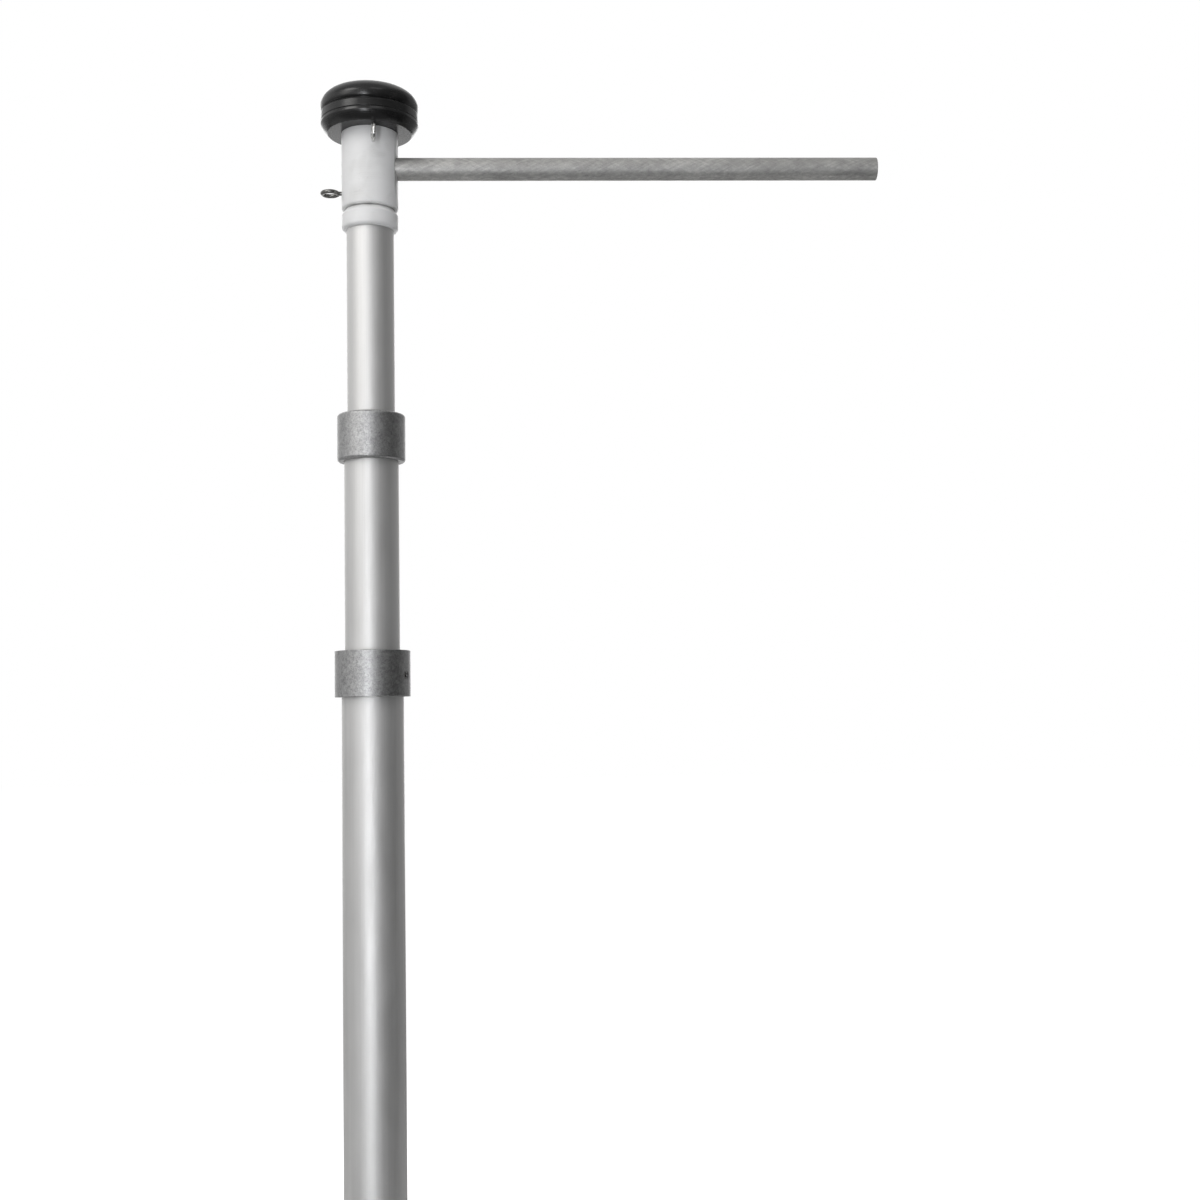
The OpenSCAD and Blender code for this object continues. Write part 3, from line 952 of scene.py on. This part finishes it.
soft_light("front_strip", 13, 1.45, 3.4, (0.42, 2.8), 7.6, COOL, 1.45)
soft_light("low_strip", 13, 0.75, 3.3, (0.40, 1.3), 6.7, COOL, 0.75)
soft_light("left_soft_box", 54, 3.1, 3.4, (1.4, 1.8), 1.5, WARM, 2.3)
soft_light("high_soft_box", 46, 4.7, 2.7, (1.6, 2.3), 4.8, WARM, 2.1)
soft_light("right_soft_box", -25, 4.5, 2.4, (2.2, 1.2), 1.3, NEUTRAL, 2.1)
soft_light("back_soft_box", 180, 2.6, 3.6, (3.4, 3.6), 1.9, NEUTRAL, 1.6)

WALL_HEIGHT = 4.5
CEILING = 4.6
RUG = 0.001
CARD_FADE = (0.8, 3.2)

upright("front_wall", (-4.2, -2.0), (-2.4, -4.4), 0.60, 0.9)
upright("camera_wall", (-2.4, -4.4), (0.0, -4.6), 1.35, 0.9)
upright("middle_wall", (0.0, -4.6), (1.0, -4.6), 0.12, 0.34)
upright("side_flag", (1.0, -4.6), (1.5, -2.3), 0.08, 0.28)
upright("dark_flag", (1.5, -2.3), (2.0, 0.55), 0.02, 0.16)
upright("back_flag", (2.0, 0.55), (1.6, 2.6), 0.30, 0.45)
upright("left_wall", (-4.2, -2.0), (-3.6, 3.2), 0.36, 0.9)
level("front_ceiling", -4.2, 2.6, -4.6, 0.0, CEILING, 0.50)
level("back_ceiling", -4.2, 1.4, 0.0, 6.0, CEILING, 0.85)
level("dark_ceiling", 1.4, 3.6, 0.0, 6.0, CEILING, 0.30)
level("dark_rug", -4.2, 1.8, -4.4, -0.3, RUG, 0.20)
level("back_rug", -6.0, 6.0, 2.4, 14.0, RUG, 0.18)
level("grey_rug", -4.2, 1.8, -0.3, 2.4, RUG, 0.65)

# ------------------------------------------------------------------------------ Floor and backdrop
# The floor is matt and pale, with a glow of its own that brings it up to white. The glow is weaker
# round the foot, where the lamps light the floor too, so that the pole keeps its soft shadow.


def seen_directly(tree):
    """One for what the camera, a reflection or a clear piece shows, and nothing for other light."""
    ray = add(tree, "LightPath", {})
    return blended(
        tree, (ray.outputs["Is Camera Ray"], 1.0), (ray.outputs["Is Glossy Ray"], 1.0),
        (ray.outputs["Is Transmission Ray"], 1.0),
    )


FLOOR_HALF = 40
FLOOR_SHADE = (0.55, 0.55, 0.55, 1)
FLOOR_GLOW = 0.85
FOOT_GLOW = 0.57
FOOT_POOL = (0.6, 2.6)
AMBIENT = 0.28

floor_shape = bmesh.new()
bmesh.ops.create_grid(floor_shape, x_segments=8, y_segments=8, size=FLOOR_HALF)
floor_mesh = bpy.data.meshes.new("floor")
floor_shape.to_mesh(floor_mesh)
floor_shape.free()
floor = bpy.data.objects.new("floor", floor_mesh)
bpy.context.scene.collection.objects.link(floor)

floor_paint = bpy.data.materials.new("floor_paint")
floor_paint.use_nodes = True
paint_tree = floor_paint.node_tree
paint_tree.nodes.clear()
matt = add(paint_tree, "BsdfDiffuse", {"Color": FLOOR_SHADE})
floor_place = add(paint_tree, "TexCoord", {})
from_pole = add(
    paint_tree, "VectorMath", {0: floor_place.outputs["Object"]}, operation="LENGTH"
).outputs["Value"]
glow_there = spread(paint_tree, from_pole, FOOT_GLOW, FLOOR_GLOW, *FOOT_POOL)
glow = add(paint_tree, "Emission", {
    "Color": WHITE, "Strength": spread(paint_tree, seen_directly(paint_tree), 0.0, glow_there, 0.0, 1.0),
})
both = add(paint_tree, "AddShader", {0: matt.outputs[0], 1: glow.outputs[0]})
add(paint_tree, "OutputMaterial", {"Surface": both.outputs[0]})
floor_mesh.materials.append(floor_paint)

world = bpy.data.worlds.new("white_studio")
world.use_nodes = True
world_tree = world.node_tree
world_tree.nodes.clear()
ambient = add(world_tree, "Background", {"Color": WHITE, "Strength": AMBIENT})
backdrop = add(world_tree, "Background", {"Color": WHITE, "Strength": 1.0})
chosen = add(world_tree, "MixShader", {
    0: seen_directly(world_tree), 1: ambient.outputs[0], 2: backdrop.outputs[0],
})
add(world_tree, "OutputWorld", {"Surface": chosen.outputs[0]})
bpy.context.scene.world = world

bpy.context.scene.view_settings.view_transform = "Standard"
